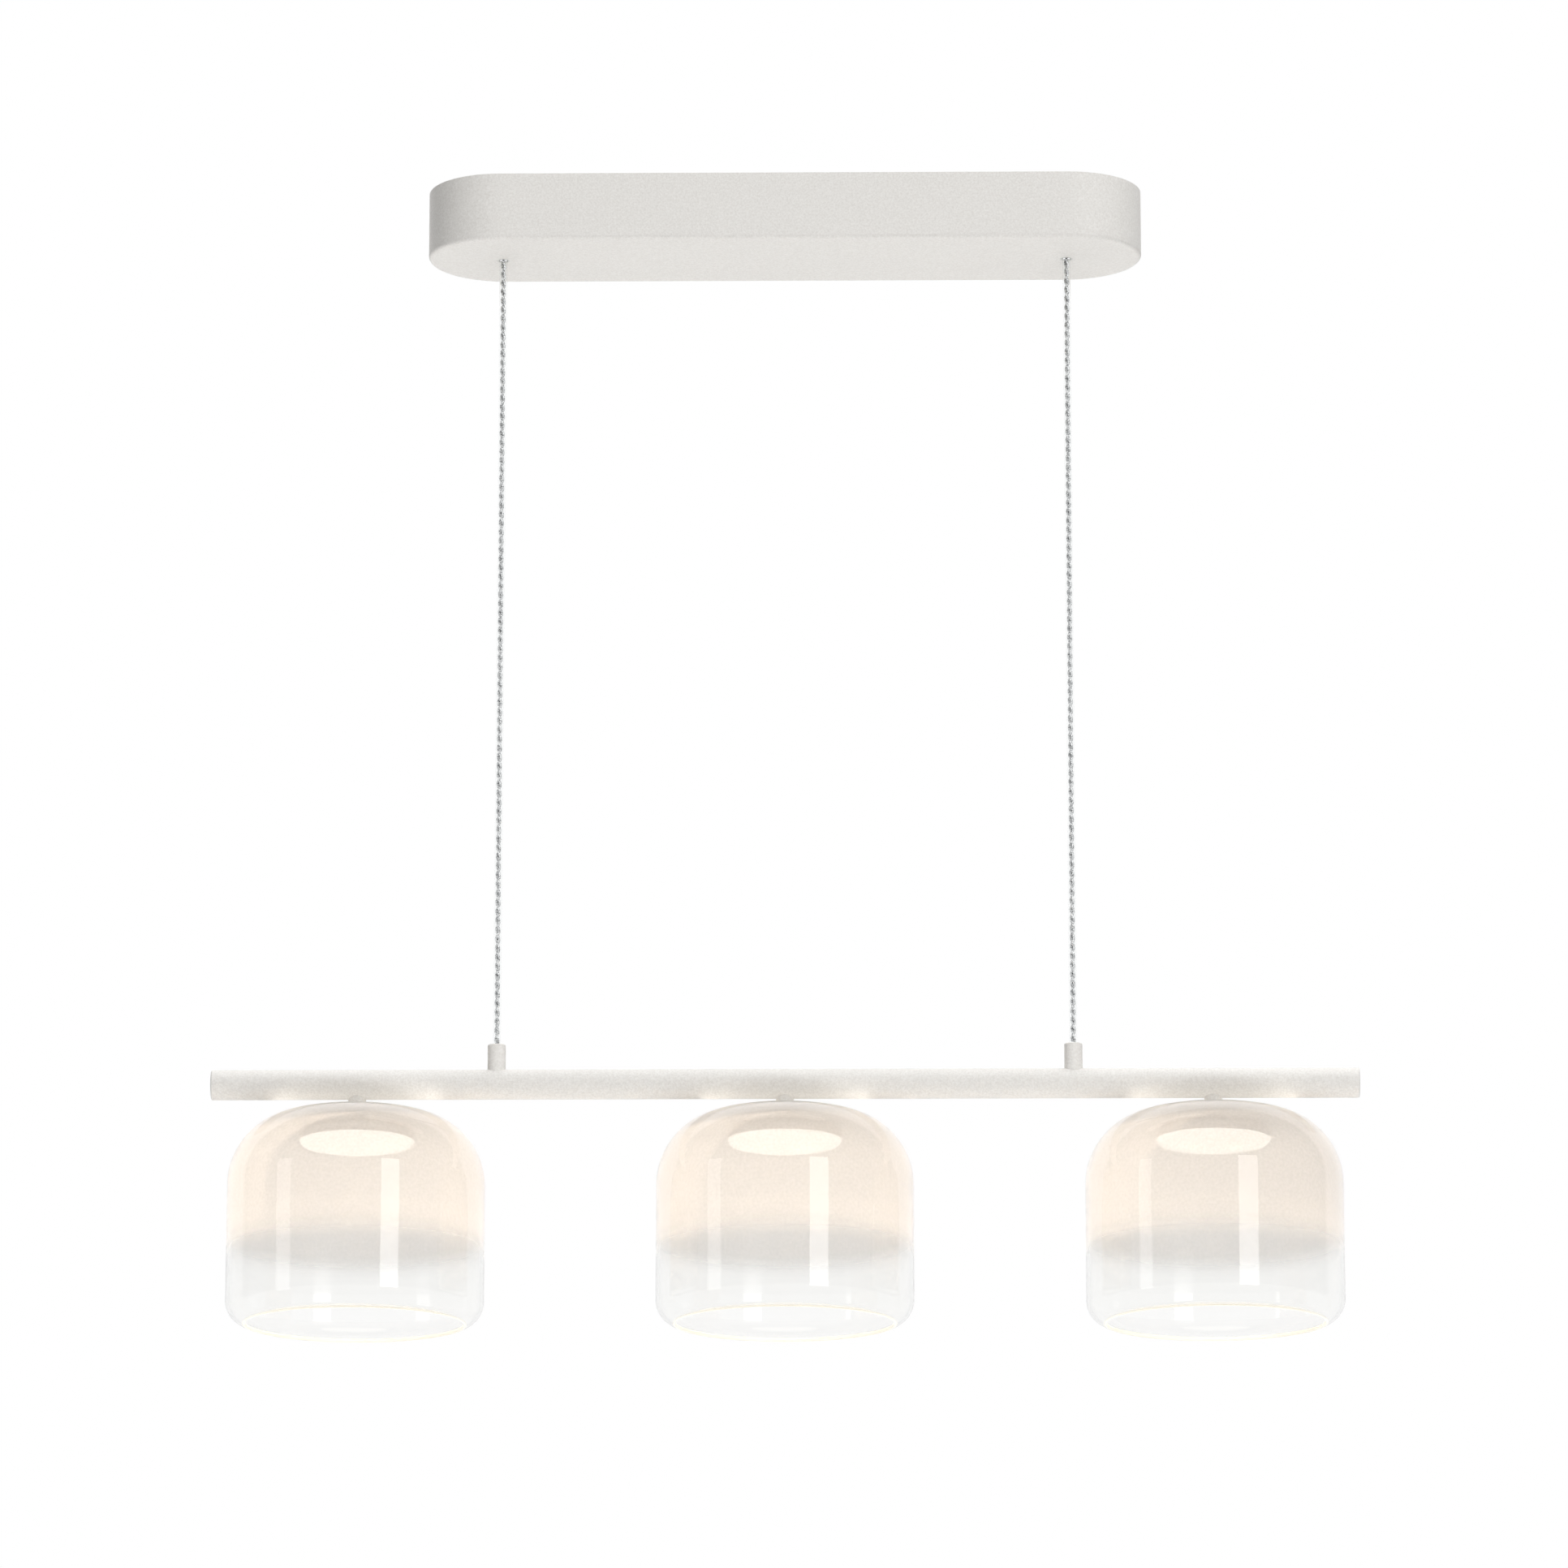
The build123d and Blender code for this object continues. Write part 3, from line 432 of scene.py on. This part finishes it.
finishes = {
    "white_coated_steel": powderCoat(),
    "zinc_plated_steel": zincPlate(),
    "graded_glass": gradedGlass(),
    "opal_lens": litOpal(),
    "cast_aluminium": castAluminium(),
    "white_circuit_board": mouldedPlastic("solder_mask_white", "#e3e4e2", "#eeeeec", 0.0006, 0.35, 1.5),
    "white_nylon": mouldedPlastic("nylon_white", "#dddcd7", "#e8e7e3", 0.0010, 0.45, 1.53),
    "white_abs": mouldedPlastic("abs_white", "#dededb", "#e9e9e7", 0.0009, 0.5, 1.54),
    "brass": turnedBrass(),
    "silicone": mouldedPlastic("silicone_clear", "#cfd2d3", "#dcdfe0", 0.0012, 0.55, 1.41),
    "clear_cord": clearJacket(),
    "wire_insulation": mouldedPlastic("pvc_wire_white", "#e0e0dd", "#ebebe8", 0.0008, 0.4, 1.53),
}


def dress(piece, material):
    piece.data.materials.clear()
    piece.data.materials.append(material)


for part in frame["record"]["subparts"]:
    dress(nodes[part["node"]], finishes[part["material_slot"]])
for shade in shades.values():
    dress(shade, finishes["graded_glass"])
copper = tinnedCopper()
for jacket, strands in cords.values():
    dress(jacket, finishes["clear_cord"])
    for strand in strands:
        dress(strand, copper)
print("finishes given")


# stage: a white floor in a bright studio, whose room is the world

studio = {"floor": -2.35, "back": 3.5, "size": 16.0,  # the floor's level, its rear edge and its width
          "paper": 0.10, "fill": 0.62,  # the floor's own light, and what is added where it is looked at
          "front": 0.85, "above": 0.95, "rise": (-0.1, 0.9),  # brightness of the room, brighter upwards
          "behind": 0.16, "backward": (0.1, 0.7),  # and darker backwards
          "sides": ((0.1, -0.6, 0.0), (0.25, 0.85, 0.1)),  # from and to which direction across, and down to what
          "mirror": 0.42, "edge": (0.36, 0.48)}  # what reflections show in front of and past this edge


def floorPaper():
    # matt white studio paper: lit, and topped up to plain white where it is looked at
    material, tree = newMaterial("floor_paper")
    path = addNode(tree, "LightPath")
    fill = addNode(tree, "Math", {"operation": "MULTIPLY_ADD"}, {1: studio["fill"], 2: studio["paper"]},
                   {0: path.outputs["Is Camera Ray"]})
    paper = addNode(tree, "BsdfPrincipled",
                    values={"Base Color": srgb("#ececec"), "Roughness": 0.9, "Specular IOR Level": 0.0,
                            "Emission Color": (1, 1, 1, 1)},
                    links={"Emission Strength": fill.outputs["Value"]})
    glassy = addLarger(tree, path.outputs["Is Transmission Ray"], path.outputs["Is Glossy Ray"])
    white = addNode(tree, "Emission", values={"Strength": 1.0})
    sheet = addMix(tree, glassy, paper.outputs["BSDF"], white.outputs["Emission"])
    under = addNode(tree, "NewGeometry").outputs["Backfacing"]  # seen from below, the floor is clear
    clear = addNode(tree, "BsdfTransparent")
    showSurface(tree, addMix(tree, under, sheet, clear.outputs["BSDF"]))
    material.cycles.emission_sampling = "NONE"  # the room and the lamps light the object
    return material


def makeFloor():
    half, level, back = studio["size"] / 2, studio["floor"], studio["back"]
    corners = [(-half, -half, level), (half, -half, level), (half, back, level), (-half, back, level)]
    plane = meshPiece("floor", np.array(corners, float), np.array([[0, 1, 2, 3]]), smooth=False)
    dress(plane, floorPaper())


def makeRoom():
    # white to cameras and through glass, graded for the light it gives, and split by an edge in reflections
    world = bpy.data.worlds.new("studio")
    bpy.context.scene.world = world
    world.use_nodes = True
    tree = world.node_tree
    tree.nodes.clear()
    way = addNode(tree, "SeparateXYZ", links={"Vector": addNode(tree, "TexCoord").outputs["Generated"]})
    behind = addRange(tree, way.outputs["Y"], studio["backward"], (0.0, 1.0), "SMOOTHSTEP")
    room = addRange(tree, way.outputs["Z"], studio["rise"], (studio["front"], studio["above"]))
    for start, end, share in studio["sides"]:
        cut = addRange(tree, way.outputs["X"], (start, end), (1.0, share), "SMOOTHSTEP")
        room = addProduct(tree, room, cut)
    room = addNode(tree, "MapRange", {"clamp": False}, {"To Max": studio["behind"]},
                   {"Value": behind, "To Min": room}).outputs["Result"]
    edge = addRange(tree, way.outputs["Y"], studio["edge"], (0.0, 1.0), "SMOOTHSTEP")
    mirror = addRange(tree, edge, (0.0, 1.0), (studio["mirror"], 1.0))
    path = addNode(tree, "LightPath")
    seen = addLarger(tree, path.outputs["Is Camera Ray"], path.outputs["Is Transmission Ray"])
    level = addNode(tree, "Mix", {"data_type": "FLOAT"},
                    links={0: path.outputs["Is Glossy Ray"], 2: room, 3: mirror}).outputs[0]
    level = addNode(tree, "Mix", {"data_type": "FLOAT"}, {3: 1.0}, {0: seen, 2: level}).outputs[0]
    light = addNode(tree, "Background", values={"Color": (1, 1, 1, 1)}, links={"Strength": level})
    addNode(tree, "OutputWorld", links={"Surface": light.outputs["Background"]})


# lights: a panel's level is its own brightness, 1 being white

strips = {  # seen only as the bright stripes in the glass; turn in degrees from the front, low and high as levels
    "right": {"turn": 31, "distance": 5.0, "width": 1.5, "low": -3.2, "high": 0.9, "level": 2.2},
    "left": {"turn": -65, "distance": 5.0, "width": 1.2, "low": -2.4, "high": 0.9, "level": 1.0}}

softPanels = {  # place, level of the point on the axis it faces, size and brightness
    "overhead": {"place": (0.6, -1.6, 2.6), "faces": -0.4, "size": (3.0, 2.0), "level": 1.7},
    "top": {"place": (0.2, 0.3, 2.4), "faces": -0.5, "size": (3.0, 2.5), "level": 3.2},  # the bar's upper edge
    "low_front": {"place": (0.4, -2.3, -2.2), "faces": -0.3, "size": (2.4, 0.5), "level": 5.7},  # canopy's edge
    "rim_left": {"place": (-2.0, 3.3, 0.2), "faces": -0.3, "size": (0.6, 3.0), "level": 12.0}}  # left ends

leak = {"size": (0.135, 0.12), "level": 0.55, "above": 0.0006, "colour": (1.0, 0.95, 0.88)}

glow = {"colour": (1.0, 0.79, 0.595),  # points: turn in degrees, distance from the axis, drop, watts
        "points": ((90, 0.022, 0.040, 0.155), (210, 0.022, 0.040, 0.155), (330, 0.022, 0.040, 0.180),
                   (0, 0.0, 0.086, 0.20))}


def areaLight(name, place, target, size, level, colour=(1, 1, 1)):
    data = bpy.data.lights.new(name, "AREA")
    data.shape, data.size, data.size_y = "RECTANGLE", size[0], size[1]
    data.energy = level * math.pi * size[0] * size[1]
    data.color = colour
    light = bpy.data.objects.new(name, data)
    aim = np.array(target, float) - np.array(place, float)
    light.location = place
    light.rotation_mode = "QUATERNION"
    light.rotation_quaternion = mathutils.Vector(aim).to_track_quat("-Z", "Y")
    bpy.context.scene.collection.objects.link(light)
    return light


def hide(light):  # it lights matt surfaces, and is seen by no camera, mirror or see-through ray
    light.visible_camera = light.visible_transmission = light.visible_glossy = False


def makeStrip(name, strip):
    turn, middle = math.radians(strip["turn"]), (strip["low"] + strip["high"]) / 2
    place = (strip["distance"] * math.sin(turn), -strip["distance"] * math.cos(turn), middle)
    size = (strip["width"], strip["high"] - strip["low"])
    areaLight("strip_" + name, place, (0, 0, middle), size, strip["level"]).visible_diffuse = False


def makeLeak(name, middle, top):  # light that comes up through the crown, on the bar's underside
    light = areaLight("leak_" + name, (middle, 0, top + leak["above"]), (middle, 0, top + 1), leak["size"],
                      leak["level"], leak["colour"])
    light.data.shape = "ELLIPSE"
    hide(light)
    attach(light, "light_bar")


def makeLamps(name, middle, top):  # the lens's light inside the bell
    for k, (turn, away, drop, power) in enumerate(glow["points"]):
        lamp = bpy.data.lights.new(f"lamp_{name}_{k + 1}", "POINT")
        lamp.energy, lamp.color, lamp.shadow_soft_size = power, glow["colour"], 0.0
        light = bpy.data.objects.new(lamp.name, lamp)
        angle = math.radians(turn)
        light.location = (middle + away * math.cos(angle), away * math.sin(angle), top - drop)
        bpy.context.scene.collection.objects.link(light)
        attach(light, "light_bar")


def makeLights():
    for name, strip in strips.items():
        makeStrip(name, strip)
    for name, panel in softPanels.items():
        hide(areaLight(name, panel["place"], (0, 0, panel["faces"]), panel["size"], panel["level"]))
    for name in shades:
        low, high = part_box("shade_" + name)
        middle = (low.x + high.x) / 2
        makeLeak(name, middle, high.z)
        makeLamps(name, middle, high.z)


makeFloor()
makeRoom()
makeLights()
bpy.context.scene.view_settings.view_transform = "Standard"
print("stage lit")
